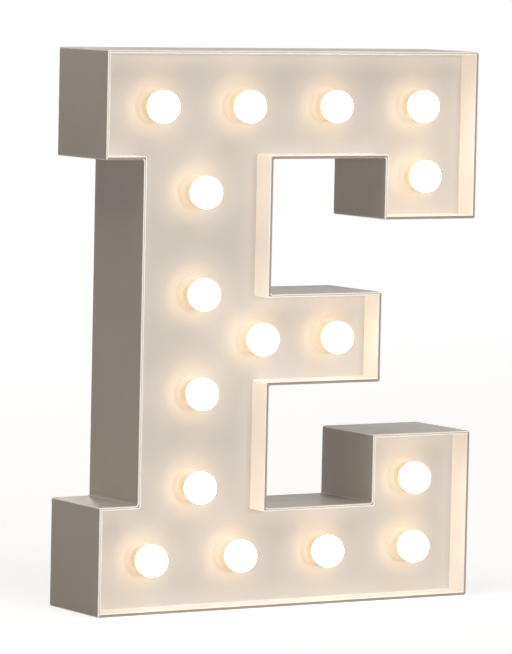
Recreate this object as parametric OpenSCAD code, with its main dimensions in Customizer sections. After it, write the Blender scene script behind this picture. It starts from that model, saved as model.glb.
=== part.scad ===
// Light-up letter: a slab-serif E moulded as a deep tray, with globe lamps on its recessed face,
// a screwed back cover, a two-cell battery compartment with a hinged door, and a slide switch.
// Millimetres. +Z is up, the lamps face -Y, and the origin is the middle of the base.

/* [Letter] */
// Height of the letter
letter_h = 220; // [205:1:280]
// Width of the letter
letter_w = 172; // [160:1:230]
// Depth of the side walls, front rim to back rim
letter_d = 38; // [36:0.5:60]
// Left face of the stem, from the left edge of the letter
stem_left = 17; // [12:0.5:22]
// Right face of the stem, from the left edge of the letter
stem_right = 76; // [72:0.5:88]
// Thickness of the top arm
top_arm = 42.5; // [38:0.5:48]
// Thickness of the bottom arm
bottom_arm = 39.5; // [36:0.5:48]
// Height of the top left serif
left_serif_top = 42.5; // [36:0.5:50]
// Height of the bottom left serif
left_serif_bottom = 43; // [36:0.5:50]
// Width of the top right serif
top_serif_w = 43.5; // [36:0.5:50]
// Height of the top right serif, arm included
top_serif_h = 67; // [62:0.5:74]
// Width of the bottom right serif
bottom_serif_w = 46.5; // [38:0.5:52]
// Height of the bottom right serif, arm included
bottom_serif_h = 67; // [62:0.5:74]
// Underside of the middle arm, above the base
mid_low = 88.2; // [80:0.2:96]
// Thickness of the middle arm
mid_arm = 36; // [30:0.5:42]
// Right end of the middle arm, from the left edge of the letter
mid_right = 128; // [118:0.5:140]
// Thickness of the side walls
wall = 1.4; // [1:0.1:2.2]
// Depth of the face below the front rim
recess = 10; // [7:0.5:12]
// Thickness of the face
face_t = 2; // [1.6:0.1:2.4]
// Radius of the outer corners of the outline
corner_r = 0.8; // [0.4:0.1:2]
// Radius of the inner corners of the outline
fillet_r = 0.8; // [0.5:0.1:3]

/* [Lamps] */
// Diameter of a lamp globe
globe_d = 12.8; // [11:0.2:15]
// Wall of a lamp globe
globe_t = 1; // [0.7:0.1:1.3]
// Height of a globe's centre in front of the face
globe_up = 8; // [7:0.1:10]
// Diameter of the collar that a globe stands on
collar_d = 10.4; // [9:0.1:10.8]
// Diameter of the neck that passes through the face
neck_d = 7.6; // [7.2:0.1:8]
// Length of the neck behind the face
neck_out = 2.4; // [2.2:0.1:3]
// Gap between a neck and its hole in the face
neck_gap = 0.1; // [0.05:0.05:0.3]
// Lamps in the top row, and in the bottom row
row_count = 4; // [3:1:5]
// First lamp of the top row, from the left edge
top_first = 26.4; // [22:0.2:32]
// Last lamp of the top row, from the right edge
top_last = 24.8; // [20:0.2:30]
// Inner lamps of the top row, left of an even spacing
top_inner_left = 0.8; // [0:0.1:2]
// Top row, below the top of the letter
top_row_down = 22; // [18:0.5:26]
// Top serif's lamp, from the right edge
top_serif_in = 23.2; // [18:0.2:28]
// Top serif's lamp, below the top of the letter
top_serif_down = 50; // [44:0.5:56]
// First lamp of the bottom row, from the left edge
bottom_first = 25; // [22:0.2:32]
// Last lamp of the bottom row, from the right edge
bottom_last = 24.8; // [20:0.2:30]
// Bottom row, above the base
bottom_row_up = 20.8; // [18:0.2:26]
// Lowest lamp of the stem and lamp of the bottom serif, above the base
low_lamp_up = 48.6; // [44:0.2:54]
// Highest lamp of the stem, below the top of the letter
high_lamp_down = 55.5; // [48:0.5:62]
// Distance between the stem's two middle lamps
mid_pair = 39; // [34:0.5:44]
// Middle of those two lamps, below the middle arm's centre line
mid_pair_down = 1.2; // [0:0.1:3]
// First lamp of the middle arm, left of the stem's right face
mid_first = 2; // [0:0.5:6]
// Last lamp of the middle arm, from the arm's right end
mid_last = 19.3; // [17.8:0.1:24]

/* [Wiring] */
// Diameter of the light-emitting diodes
led_d = 5; // [4.6:0.1:5]
// Diameter of a diode's flange
led_flange_d = 5.8; // [5.4:0.1:5.8]
// Thickness of a diode's flange
led_flange_t = 1; // [0.6:0.1:1.2]
// Length of a diode in front of its flange
led_l = 7.7; // [6:0.1:8.4]
// Distance between a diode's two leads
lead_pitch = 2.54; // [2.2:0.02:2.8]
// Width of a lead
lead_w = 0.5; // [0.4:0.05:0.6]
// Diameter of the insulated wires
wire_d = 1.1; // [0.8:0.1:1.2]
// Size of the soldered joints on the wires
joint_d = 1.6; // [1.4:0.1:1.8]
// Gap between a joint and a wire of the other layer
wire_gap = 0.3; // [0.2:0.05:0.4]
// Outer diameter of the push-on clip behind a lamp
clip_d = 10.8; // [9.6:0.2:12]
// Thickness of the push-on clip
clip_t = 1; // [0.6:0.1:1.4]

/* [Back cover] */
// Depth of the cover below the back rim
cover_in = 1.5; // [1.4:0.1:3]
// Thickness of the cover
cover_t = 2; // [1.6:0.1:3]
// Gap between the cover and the side walls
cover_gap = 0.3; // [0.1:0.1:0.6]
// Distance of the corner bosses from the outer edges
boss_in = 9; // [7:0.5:12]
// Distance of the stem's boss from the stem's left face
stem_boss_in = 5; // [4.5:0.1:6]
// Diameter of the screw bosses
boss_d = 6.4; // [5:0.2:7]
// Thread diameter of the cover and tray screws
screw_d = 2.6; // [2:0.1:3]
// Length of the cover screws
screw_l = 10; // [6:0.5:14]
// Head diameter of the cover and tray screws
screw_head_d = 5.2; // [4.4:0.1:5.6]
// Head height of the cover and tray screws
screw_head_h = 1.3; // [1:0.1:1.4]
// Gap around the screw threads
screw_gap = 0.05; // [0.02:0.01:0.1]
// Gap around the screws where they pass a clear hole
shank_gap = 0.3; // [0.1:0.1:0.5]
// Distance between the two keyholes
keyhole_span = 90; // [60:1:110]
// Keyhole entries, below the top of the letter
keyhole_down = 27; // [25:0.5:30]
// Diameter of a keyhole's entry
keyhole_d = 8.5; // [7:0.1:9]
// Width of a keyhole's slot
keyhole_slot_w = 4.4; // [3.4:0.1:5]
// Length of the slot above the entry's centre
keyhole_rise = 8; // [7:0.5:9]

/* [Battery compartment] */
// Diameter of a cell
cell_d = 14.5; // [13.5:0.1:14.5]
// Length of a cell, button included
cell_l = 50.5; // [49:0.1:51]
// Diameter of a cell's button
button_d = 5.5; // [4.5:0.1:5.5]
// Height of a cell's button
button_h = 1.3; // [1:0.1:1.6]
// Distance between the two cells' centre lines
cell_pitch = 16; // [15.6:0.1:16.4]
// Gap around a cell in the tray
cell_gap = 0.3; // [0.1:0.1:0.5]
// Wall of the tray
tray_wall = 1.4; // [1.2:0.1:1.8]
// Flange of the tray behind the cover
flange_w = 2.4; // [2:0.1:3]
// Thickness of the flange
flange_t = 1.5; // [1.2:0.1:2]
// Middle of the tray above the base
tray_mid = 100; // [96:1:106]
// Diameter of the tray's screw ears
ear_d = 6; // [5:0.2:6.4]
// Depth of the tray's screw ears
ear_l = 6; // [5:0.5:8]
// Thickness of the contacts
contact_t = 0.5; // [0.3:0.1:0.6]
// Width of the contacts
contact_w = 10; // [8:0.5:12]
// Size of the contacts across the letter's depth
contact_h = 10.5; // [9:0.5:12]
// Height of the raised dimple on a positive contact
dimple_h = 0.8; // [0.5:0.1:1]
// Diameter of that dimple
dimple_d = 4.5; // [3.5:0.1:5]
// Wire diameter of the contact springs
spring_wire_d = 0.7; // [0.5:0.05:0.8]
// Length of a spring under its cell
spring_l = 5; // [4.5:0.1:6]
// Turns of a spring
spring_turns = 3; // [2:0.5:3]
// Diameter of a spring at its contact, over the wire
spring_base_d = 9; // [8:0.1:9.4]
// Diameter of a spring at its cell, over the wire
spring_tip_d = 6; // [5:0.1:7]

/* [Battery door] */
// Thickness of the door
door_t = 1.8; // [1.6:0.1:1.8]
// Gap around the door
door_gap = 0.3; // [0.2:0.05:0.5]
// Radius of the rounded hinge edge of the door
heel_r = 2; // [1.8:0.1:2.2]
// Diameter of the hinge pins
pin_d = 2; // [1.6:0.1:2.2]
// Length of the hinge pins
pin_l = 2.4; // [1.6:0.1:3]
// Running gap around the hinge pins
pin_gap = 0.05; // [0.02:0.01:0.1]
// Width of the latch tab in the door's free end
latch_w = 10; // [7:0.5:14]
// Length of the latch tab
latch_l = 11; // [8:0.5:16]
// Width of the slots beside the latch tab
latch_slot = 1; // [0.6:0.1:1.4]
// Grip ribs on the latch tab
grip_ribs = 4; // [2:1:5]

/* [Switch] */
// Middle of the switch above the tray's hinge line
switch_up = 17; // [14:0.5:20]
// Travel of the switch's slider
switch_travel = 4; // [2:0.5:5]
// Length of the switch's body
switch_l = 13; // [12.6:0.1:16]
// Width of the switch's body
switch_w = 6.4; // [6:0.1:8]
// Depth of the switch's body
switch_h = 5.5; // [5:0.1:7]
// Wall of the switch's body
switch_wall = 0.9; // [0.7:0.1:1.1]
// Length of the slider's knob along its travel
knob_l = 3.4; // [2.6:0.1:4]
// Width of the slider's knob
knob_w = 2.8; // [2.2:0.1:3.2]
// Height of the slider's knob above the cover
knob_up = 1.1; // [0.6:0.1:1.3]
// Running gap around the slider
slide_gap = 0.15; // [0.1:0.05:0.3]
// Thread diameter of the switch screws
switch_screw_d = 2; // [1.6:0.1:2.2]
// Length of the switch screws
switch_screw_l = 4.4; // [4:0.1:6]
// Distance of the switch screws from the switch's ends
switch_ear = 3; // [2.6:0.1:4]

/* [Hidden] */
$fn = 48;
// Small overlap of fused shapes, and how far cuts run past faces
eps = 0.01;
over = 1;
corner_steps = 4;

// Depths below the front rim
face_back = recess + face_t;
cover_out = letter_d - cover_in;
cover_inner = cover_out - cover_t;
door_out = cover_out;
door_inner = door_out - door_t;

// Places on the letter, from its left edge and its base
stem_mid = (stem_left + stem_right) / 2;
mid_axis = mid_low + mid_arm / 2;
top_row_z = letter_h - top_row_down;
top_pitch = (letter_w - top_first - top_last) / (row_count - 1);
bottom_pitch = (letter_w - bottom_first - bottom_last) / (row_count - 1);

// Each lamp: across, up, and whether its wires run up the letter
function inner_left(i) = i > 0 && i < row_count - 1 ? top_inner_left : 0;
top_lamps = [for (i = [0 : row_count - 1]) [top_first + i * top_pitch - inner_left(i), top_row_z, false]];
bottom_lamps = [for (i = [0 : row_count - 1]) [bottom_first + i * bottom_pitch, bottom_row_up, false]];
top_serif_lamp = [letter_w - top_serif_in, letter_h - top_serif_down, true];
bottom_serif_lamp = [letter_w - bottom_last, low_lamp_up, true];
pair_mid = mid_axis - mid_pair_down;
stem_lamps = [for (z = [letter_h - high_lamp_down, pair_mid + mid_pair / 2, pair_mid - mid_pair / 2,
    low_lamp_up]) [stem_mid, z, true]];
mid_lamps = [for (x = [stem_right - mid_first, mid_right - mid_last]) [x, mid_axis, false]];
lamps = concat(top_lamps, [top_serif_lamp], stem_lamps, mid_lamps, bottom_lamps, [bottom_serif_lamp]);

// Lamp details, as depths behind the front of the face
led_gap = 0.05;
led_seat = 1;
led_back = led_seat + led_flange_t;
plug_back = face_t + neck_out;
lead_clear = 0.1;
front_layer = recess + plug_back + lead_clear + joint_d / 2;
rear_layer = front_layer + (joint_d + wire_d) / 2 + wire_gap;

// Screw places on the letter, and the room past a screw's tip
tip_gap = 1;
cover_screw_at = [
    [boss_in, letter_h - boss_in],
    [letter_w / 2, letter_h - boss_in],
    [letter_w - boss_in, letter_h - boss_in],
    [mid_right - boss_in, mid_axis],
    [stem_left + stem_boss_in, mid_axis],
    [boss_in, boss_in],
    [letter_w / 2, boss_in],
    [letter_w - boss_in, boss_in]
];

// Battery tray, seen from the front: lengths up the letter, depths from the front rim
tray_in_l = 2 * contact_t + dimple_h + cell_l + spring_l;
tray_l = tray_in_l + 2 * tray_wall;
tray_in_w = cell_pitch + cell_d + 2 * cell_gap;
tray_w = tray_in_w + 2 * tray_wall;
tray_low = tray_mid - tray_l / 2;
tray_high = tray_mid + tray_l / 2;
cell_axis = door_inner - cell_gap - cell_d / 2;
tray_floor = cell_axis - cell_d / 2 - cell_gap;
tray_front = tray_floor - tray_wall;
rib_t = 1;
rib_h = 5;
ear_out = tray_w / 2 + flange_w + ear_d / 2;
ear_rise = tray_l / 4;
tray_screw_at = [for (side = [-1, 1]) [stem_mid + side * ear_out, tray_mid + side * ear_rise]];
tray_screw_l = cover_t + ear_l - tip_gap;
tab_w = 3;
tab_out = 3;
tab_gap = 0.2;
tab_up = 1.5;
tab_depth = tray_floor + tab_up;

// Door hinge
hinge_depth = door_out - heel_r;
hinge_up = tray_high + heel_r + door_gap;
pad_wall = 2;
pad_w = pin_l + pad_wall;
pad_h = pin_d + 2 * pad_wall;
pad_depth = hinge_depth - pin_d / 2 - pad_wall;
rib_pitch = 2;
rib_d = 0.8;

// Switch
switch_mid = hinge_up + switch_up;
bracket_t = 0.5;
bracket_out = cover_inner;
bracket_in = bracket_out - bracket_t;
switch_front = bracket_in - switch_h;
switch_span = switch_l + 2 * switch_ear;
switch_ear_end = 2.4;
cavity_l = switch_l - 2 * switch_wall;
cavity_w = switch_w - 2 * switch_wall;
switch_floor = 2;
cavity_h = switch_h - switch_floor;
shoe_l = cavity_l - switch_travel - 2 * slide_gap;
shoe_w = cavity_w - 2 * slide_gap;
shoe_h = cavity_h - 2 * slide_gap;
switch_screw_at = [for (side = [-1, 1]) [stem_mid + side * switch_span / 2, switch_mid]];
switch_head_d = 3.8;
switch_head_h = 1.2;
terminal_pitch = 3;
terminal_l = 3;
terminal_w = 0.8;
terminal_t = 0.4;
mark_h = 0.3;
mark_size = 3;
mark_w = 0.7;

function two_digits(n) = str(n < 10 ? "0" : "", n);
function globe_name(i) = str("bulb_globe_", two_digits(i + 1));
function led_name(i) = str("led_", two_digits(i + 1));

// Outline of the letter, anticlockwise from its bottom left corner
function outline_corners() = [
    [0, 0], [letter_w, 0],
    [letter_w, bottom_serif_h], [letter_w - bottom_serif_w, bottom_serif_h],
    [letter_w - bottom_serif_w, bottom_arm], [stem_right, bottom_arm],
    [stem_right, mid_low], [mid_right, mid_low],
    [mid_right, mid_low + mid_arm], [stem_right, mid_low + mid_arm],
    [stem_right, letter_h - top_arm], [letter_w - top_serif_w, letter_h - top_arm],
    [letter_w - top_serif_w, letter_h - top_serif_h], [letter_w, letter_h - top_serif_h],
    [letter_w, letter_h], [0, letter_h],
    [0, letter_h - left_serif_top], [stem_left, letter_h - left_serif_top],
    [stem_left, left_serif_bottom], [0, left_serif_bottom]
];

// Direction of the edge from corner k to the next
function edge(p, k) = let (d = p[(k + 1) % len(p)] - p[k % len(p)]) d / norm(d);
function left_of(d) = [-d[1], d[0]];

// Outline moved inwards by a distance. Its inner corners keep their radius at every distance.
function outline(inset) = let (p = outline_corners(), n = len(p)) [
    for (k = [0 : n - 1])
        let (
            before = edge(p, k + n - 1),
            after = edge(p, k),
            turn = before[0] * after[1] - before[1] * after[0],
            r = turn > 0 ? max(corner_r - inset, eps) : fillet_r,
            corner = p[k] + inset * (left_of(before) + left_of(after)),
            centre = corner + r * (after - before)
        )
        for (s = [0 : corner_steps])
            let (a = 90 * s / corner_steps)
            centre + r * (before * sin(a) - after * cos(a))
];

// Slab of the outline between two depths
module slab(inset, from, to)
    translate([-letter_w / 2, to - letter_d / 2, 0])
        rotate([90, 0, 0])
            linear_extrude(to - from)
                polygon(outline(inset));

// Places children at a point of the letter, with their +Z pointing to the back
module facing_back(x, z, depth)
    translate([x - letter_w / 2, depth - letter_d / 2, z])
        rotate([-90, 0, 0])
            children();

// Round hole or pin between two depths
module round_bar(x, z, d, from, to)
    facing_back(x, z, from)
        cylinder(h = to - from, d = d);

// Block by its middle across and up, its width and height, and the depths it spans
module block(x, z, w, h, from, to)
    translate([x - w / 2 - letter_w / 2, from - letter_d / 2, z - h / 2])
        cube([w, to - from, h]);

// Straight length of wire between two points
module wire(a, b)
    let (v = b - a, l = norm(v))
        translate(a)
            rotate([0, acos(v[2] / l), atan2(v[1], v[0])])
                cylinder(h = l, d = wire_d, $fn = 16);

// Soldered or sleeved joint on a wire
module wire_joint(point)
    translate(point)
        cube(joint_d, center = true);

// Point of the model from a place on the letter and a depth
function at(x, z, depth) = [x - letter_w / 2, depth - letter_d / 2, z];

// Wire along a list of points, with a joint at each of its bends
module wire_run(points) {
    last = len(points) - 1;
    for (i = [0 : last - 1])
        wire(points[i], points[i + 1]);
    for (i = [1 : 1 : last - 1])
        wire_joint(points[i]);
}

// Cross recess of a screw: length and width as shares of the head's diameter, floor of its height
cross_l = 0.6;
cross_w = 0.14;
cross_floor = 0.45;

// Pan-head screw with a cross recess, pointing to the front
module pan_screw(x, z, head_d, head_h, d, l)
    facing_back(x, z, cover_out)
        difference() {
            union() {
                cylinder(h = head_h, d = head_d);
                translate([0, 0, -l])
                    cylinder(h = l + eps, d = d);
            }
            for (turn = [0, 90])
                rotate(turn)
                    translate([-head_d * cross_l / 2, -head_d * cross_w / 2, head_h * cross_floor])
                        cube([head_d * cross_l, head_d * cross_w, head_h]);
        }

module front_shell()
    color("#d8d0c4")
        difference() {
            union() {
                difference() {
                    slab(0, 0, letter_d);
                    slab(wall, -over, recess);
                    slab(wall, face_back, letter_d + over);
                }
                for (p = cover_screw_at)
                    round_bar(p[0], p[1], boss_d, face_back - eps, cover_inner);
            }
            for (p = cover_screw_at)
                round_bar(p[0], p[1], screw_d + 2 * screw_gap, cover_out - screw_l - tip_gap, letter_d);
            for (p = lamps)
                round_bar(p[0], p[1], neck_d + 2 * neck_gap, recess - over, face_back + over);
        }

// Hole of a keyhole slot: round entry with a narrow slot above it
module keyhole(x)
    let (z = letter_h - keyhole_down) {
        round_bar(x, z, keyhole_d, cover_inner - over, letter_d);
        round_bar(x, z + keyhole_rise, keyhole_slot_w, cover_inner - over, letter_d);
        block(x, z + keyhole_rise / 2, keyhole_slot_w, keyhole_rise, cover_inner - over, letter_d);
    }

// Switch positions: a bar for on and a ring for off, raised on the cover
module switch_marks() {
    mark_in = switch_span / 2 + switch_ear_end + mark_size;
    block(stem_mid - mark_in, switch_mid, mark_w, mark_size, cover_out - eps, cover_out + mark_h);
    facing_back(stem_mid + mark_in, switch_mid, cover_out - eps)
        difference() {
            cylinder(h = mark_h + eps, d = mark_size);
            translate([0, 0, -over])
                cylinder(h = mark_h + 2 * over, d = mark_size - 2 * mark_w);
        }
}

module back_cover()
    color("#cfc7bb")
        difference() {
            union() {
                slab(wall + cover_gap, cover_inner, cover_out);
                for (side = [-1, 1])
                    block(stem_mid + side * (tray_w / 2 + door_gap + pad_w / 2), hinge_up, pad_w, pad_h,
                        pad_depth, cover_inner + eps);
                switch_marks();
            }
            block(stem_mid, (tray_low + hinge_up + heel_r) / 2, tray_w + 2 * door_gap,
                hinge_up + heel_r - tray_low + 2 * door_gap, pad_depth - over, letter_d);
            translate(at(stem_mid, hinge_up, hinge_depth))
                rotate([0, 90, 0])
                    cylinder(h = tray_w + 2 * (door_gap + pin_l), d = pin_d + 2 * pin_gap, center = true);
            for (side = [-1, 1])
                keyhole(letter_w / 2 + side * keyhole_span / 2);
            for (p = concat(cover_screw_at, tray_screw_at))
                round_bar(p[0], p[1], screw_d + 2 * shank_gap, cover_inner - over, letter_d);
            block(stem_mid, switch_mid, knob_l + switch_travel + 2 * shank_gap, knob_w + 2 * shank_gap,
                cover_inner - over, letter_d);
            for (p = switch_screw_at)
                round_bar(p[0], p[1], switch_screw_d + 2 * shank_gap, cover_inner - over, letter_d);
        }

module cover_screws()
    color("silver")
        for (p = cover_screw_at)
            pan_screw(p[0], p[1], screw_head_d, screw_head_h, screw_d, screw_l);

module tray_screws()
    color("silver")
        for (p = tray_screw_at)
            pan_screw(p[0], p[1], screw_head_d, screw_head_h, screw_d, tray_screw_l);

module switch_screws()
    color("silver")
        for (p = switch_screw_at)
            pan_screw(p[0], p[1], switch_head_d, switch_head_h, switch_screw_d, switch_screw_l);

// Hollow frosted globe with its collar and a neck that holds the diode
module bulb_globe(p)
    color("#fff3d9")
        facing_back(p[0], p[1], recess)
            difference() {
                union() {
                    translate([0, 0, -globe_up])
                        sphere(d = globe_d);
                    translate([0, 0, -globe_up / 2])
                        cylinder(h = globe_up / 2, d = collar_d);
                    cylinder(h = plug_back, d = neck_d);
                }
                translate([0, 0, -globe_up])
                    sphere(d = globe_d - 2 * globe_t);
                translate([0, 0, -globe_up / 2])
                    cylinder(h = globe_up, d = led_d + 2 * led_gap);
                translate([0, 0, led_seat])
                    cylinder(h = plug_back, d = led_flange_d + 2 * led_gap);
            }

// Turns a lamp's lead direction with the run of its wires
module lead_frame(p)
    facing_back(p[0], p[1], recess)
        rotate(p[2] ? 0 : 90)
            children();

// Side of the lamp on which a lead stands, seen along its frame's X
function lead_at(positive) = positive ? lead_pitch / 2 : -lead_pitch / 2;

module led(p)
    color("#ffe9b0")
        lead_frame(p) {
            translate([0, 0, led_seat])
                cylinder(h = led_flange_t, d = led_flange_d);
            translate([0, 0, led_seat - led_l + led_d / 2]) {
                cylinder(h = led_l - led_d / 2 + eps, d = led_d);
                sphere(d = led_d);
            }
            for (positive = [true, false])
                translate([lead_at(positive) - lead_w / 2, -lead_w / 2, led_back - eps])
                    cube([lead_w, lead_w, lead_end(p, positive) - led_back + eps]);
        }

// Depth behind the face's front at which a lead meets its wire
function lead_end(p, positive) = layer(p, positive) - joint_d / 2 - recess;

module led_plugs()
    color("#b9b2a6")
        for (p = lamps)
            lead_frame(p)
                difference() {
                    translate([0, 0, led_back])
                        cylinder(h = plug_back - led_back, d = led_flange_d);
                    for (positive = [true, false])
                        translate([lead_at(positive), 0, led_back - over])
                            cylinder(h = plug_back, d = lead_w * 2);
                }

module bulb_clips()
    color("#b9b2a6")
        for (p = lamps)
            facing_back(p[0], p[1], face_back)
                difference() {
                    cylinder(h = clip_t, d = clip_d);
                    translate([0, 0, -over])
                        cylinder(h = clip_t + 2 * over, d = neck_d + 2 * neck_gap);
                }

// Depth at which the switch's terminals end
function terminal_end() = switch_front - terminal_l;
// Height of the wires' soldered ends past the tray's tabs
function tab_end() = tray_high + tab_out;

// Heights between which the wires have only the front layer, because the tray is behind them
function hop_low() = tray_low - 2 * joint_d;
function hop_high() = tab_end() + 2 * joint_d;
function behind_tray(p) = p[0] == stem_mid && p[1] > hop_low() && p[1] < hop_high();

// Layer in which a lamp's lead meets its wire
function layer(p, positive) = positive || behind_tray(p) ? front_layer : rear_layer;

// Wires along the top and bottom rows, and the joints with the leads of one polarity
module wire_comb(positive) {
    depth = positive ? front_layer : rear_layer;
    side = lead_at(positive);
    top_end = top_serif_lamp[0] + side;
    bottom_end = bottom_serif_lamp[0] + side;
    wire_run([at(top_first, top_row_z - side, depth), at(top_end, top_row_z - side, depth),
        at(top_end, top_serif_lamp[1], depth)]);
    wire_run([at(bottom_first, bottom_row_up - side, depth), at(bottom_end, bottom_row_up - side, depth),
        at(bottom_end, low_lamp_up, depth)]);
    for (z = [bottom_row_up, top_row_z])
        wire_joint(at(stem_mid + side, z - side, depth));
    for (p = lamps)
        let (depth = layer(p, positive))
            wire_joint(p[2] ? at(p[0] + side, p[1], depth) : at(p[0], p[1] - side, depth));
}

module wire_positive()
    color("#b02a22") {
        spine = stem_mid + lead_at(true);
        mid_z = mid_axis - lead_at(true);
        wire_comb(true);
        wire_run([at(spine, bottom_row_up - lead_at(true), front_layer), at(spine, mid_z, front_layer),
            at(spine, switch_mid, front_layer), at(spine, top_row_z - lead_at(true), front_layer)]);
        wire_run([at(spine, mid_z, front_layer), at(mid_right - mid_last, mid_z, front_layer)]);
        wire_run([
            at(stem_mid, switch_mid, terminal_end()),
            at(stem_mid, switch_mid, terminal_end() - terminal_l),
            at(spine, switch_mid, front_layer)
        ]);
    }

// The spine hops to the front layer past the tray, and the middle arm is fed round the tray's side
module wire_negative()
    color("#26262a") {
        spine = stem_mid + lead_at(false);
        mid_z = mid_axis - lead_at(false);
        feeder = stem_mid + tray_w / 2 + 2 * joint_d;
        tail = stem_mid + cell_pitch / 2;
        wire_comb(false);
        wire_run([
            at(spine, bottom_row_up - lead_at(false), rear_layer),
            at(spine, hop_low(), rear_layer),
            at(spine, hop_low(), front_layer),
            at(spine, hop_high(), front_layer),
            at(spine, hop_high(), rear_layer),
            at(spine, top_row_z - lead_at(false), rear_layer)
        ]);
        wire_run([
            at(spine, hop_high(), rear_layer),
            at(tail, hop_high(), rear_layer),
            at(feeder, hop_high(), rear_layer),
            at(feeder, mid_z, rear_layer),
            at(mid_right - mid_last, mid_z, rear_layer)
        ]);
        wire_run([
            at(tail, tab_end(), tab_depth + contact_t / 2),
            at(tail, hop_high(), tab_depth + contact_t / 2),
            at(tail, hop_high(), rear_layer)
        ]);
    }

module switch_lead()
    color("#b02a22")
        wire_run([
            at(stem_mid - cell_pitch / 2, tab_end(), tab_depth + contact_t / 2),
            at(stem_mid - cell_pitch / 2, switch_mid - switch_w, tab_depth + contact_t / 2),
            at(stem_mid - terminal_pitch, switch_mid, terminal_end() - terminal_l),
            at(stem_mid - terminal_pitch, switch_mid, terminal_end())
        ]);

module battery_tray()
    color("#c6beb2")
        difference() {
            union() {
                block(stem_mid, tray_mid, tray_w, tray_l, tray_front, cover_inner);
                block(stem_mid, tray_mid - flange_w, tray_w + 2 * flange_w, tray_l - pad_h,
                    cover_inner - flange_t, cover_inner);
                for (p = tray_screw_at) {
                    round_bar(p[0], p[1], ear_d, cover_inner - ear_l, cover_inner);
                    block((p[0] + stem_mid) / 2, p[1], ear_out, ear_d / 2, cover_inner - ear_l, cover_inner);
                }
            }
            difference() {
                block(stem_mid, tray_mid, tray_in_w, tray_in_l, tray_floor, letter_d);
                block(stem_mid, tray_mid, rib_t, cell_l - 2 * spring_l, tray_floor - eps, tray_floor + rib_h);
            }
            for (p = tray_screw_at)
                round_bar(p[0], p[1], screw_d + 2 * screw_gap, cover_inner - ear_l - over, letter_d);
            for (side = [-1, 1])
                block(stem_mid + side * cell_pitch / 2, tray_high, tab_w + 2 * tab_gap, 4 * tray_wall,
                    tab_depth - tab_gap, tab_depth + contact_t + tab_gap);
        }

module battery_door()
    color("#cfc7bb") {
        door_low = tray_low;
        difference() {
            union() {
                block(stem_mid, (door_low + hinge_up) / 2, tray_w, hinge_up - door_low, door_inner, door_out);
                translate(at(stem_mid, hinge_up, hinge_depth))
                    rotate([0, 90, 0])
                        cylinder(h = tray_w, r = heel_r, center = true);
            }
            for (side = [-1, 1])
                block(stem_mid + side * (latch_w + latch_slot) / 2, door_low, latch_slot, 2 * latch_l,
                    door_inner - over, letter_d);
        }
        translate(at(stem_mid, hinge_up, hinge_depth))
            rotate([0, 90, 0])
                cylinder(h = tray_w + 2 * (door_gap + pin_l) - 2 * pin_gap, d = pin_d, center = true);
        for (i = [0 : grip_ribs - 1])
            translate(at(stem_mid, door_low + rib_pitch * (i + 1), door_out))
                rotate([0, 90, 0])
                    cylinder(h = latch_w - latch_slot, d = rib_d, center = true);
    }

// Cell along the letter, with its button up or down
module cell(side, button_up)
    color("#4f7d62")
        translate(at(stem_mid + side * cell_pitch / 2, cell_low(button_up), cell_axis)) {
            translate([0, 0, button_up ? 0 : button_h])
                cylinder(h = cell_l - button_h, d = cell_d);
            translate([0, 0, button_up ? cell_l - button_h - eps : 0])
                cylinder(h = button_h + eps, d = button_d);
        }

// Lower end of a cell, which stands on its spring or on its positive contact
function cell_low(button_up) = tray_low + tray_wall + contact_t + (button_up ? spring_l : dimple_h);

// Plate of a contact against the tray's top or bottom wall
module contact_plate(x, w, top)
    block(x, top ? tray_high - tray_wall - contact_t / 2 : tray_low + tray_wall + contact_t / 2,
        w, contact_t, cell_axis - contact_h / 2, cell_axis + contact_h / 2);

// Tab that passes through the tray's top wall for its soldered wire
module contact_tab(x)
    block(x, tray_high - tray_wall - contact_t + (tray_wall + contact_t + tab_out) / 2,
        tab_w, tray_wall + contact_t + tab_out, tab_depth, tab_depth + contact_t);

// Raised dimple that touches a cell's button
module contact_dimple(x, top)
    translate(at(x, top ? tray_high - tray_wall - contact_t - dimple_h : tray_low + tray_wall, cell_axis))
        cylinder(h = contact_t + dimple_h, d = dimple_d);

// Plain foot that joins a contact's tab to its plate
module contact_foot(x)
    block(x, tray_high - tray_wall - contact_t / 2, tab_w, contact_t, tab_depth, cell_axis);

module contact_positive()
    color("silver") {
        contact_plate(stem_mid - cell_pitch / 2, contact_w, true);
        contact_dimple(stem_mid - cell_pitch / 2, true);
        contact_foot(stem_mid - cell_pitch / 2);
        contact_tab(stem_mid - cell_pitch / 2);
    }

module contact_negative()
    color("silver") {
        contact_plate(stem_mid + cell_pitch / 2, contact_w, true);
        contact_foot(stem_mid + cell_pitch / 2);
        contact_tab(stem_mid + cell_pitch / 2);
    }

module contact_bridge()
    color("silver") {
        contact_plate(stem_mid, cell_pitch + contact_w, false);
        contact_dimple(stem_mid + cell_pitch / 2, false);
    }

// Contact spring: one tube along a conical helix, seated on its contact and under its cell
spring_rings = 16;
spring_sides = 6;
spring_clear = 0.05;
spring_count = round(spring_turns * spring_rings);
function spring_radius(t) =
    (spring_base_d + (spring_tip_d - spring_base_d) * t - spring_wire_d) / 2;
function spring_point(t) = let (a = 360 * spring_turns * t)
    [spring_radius(t) * cos(a), spring_radius(t) * sin(a),
     spring_wire_d / 2 + spring_clear + (spring_l - spring_wire_d - 2 * spring_clear) * t];
function spring_ring(t) = let (a = 360 * spring_turns * t, out = [cos(a), sin(a), 0], up = [0, 0, 1])
    [for (s = [0 : spring_sides - 1])
        spring_point(t) + spring_wire_d / 2
            * (out * cos(360 * s / spring_sides) + up * sin(360 * s / spring_sides))];

// Least gap between one turn of the spring and the next
spring_gap = min([for (i = [0 : spring_count - spring_rings])
    norm(spring_point((i + spring_rings) / spring_count) - spring_point(i / spring_count)) - spring_wire_d]);
echo(spring_gap = spring_gap);

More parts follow.
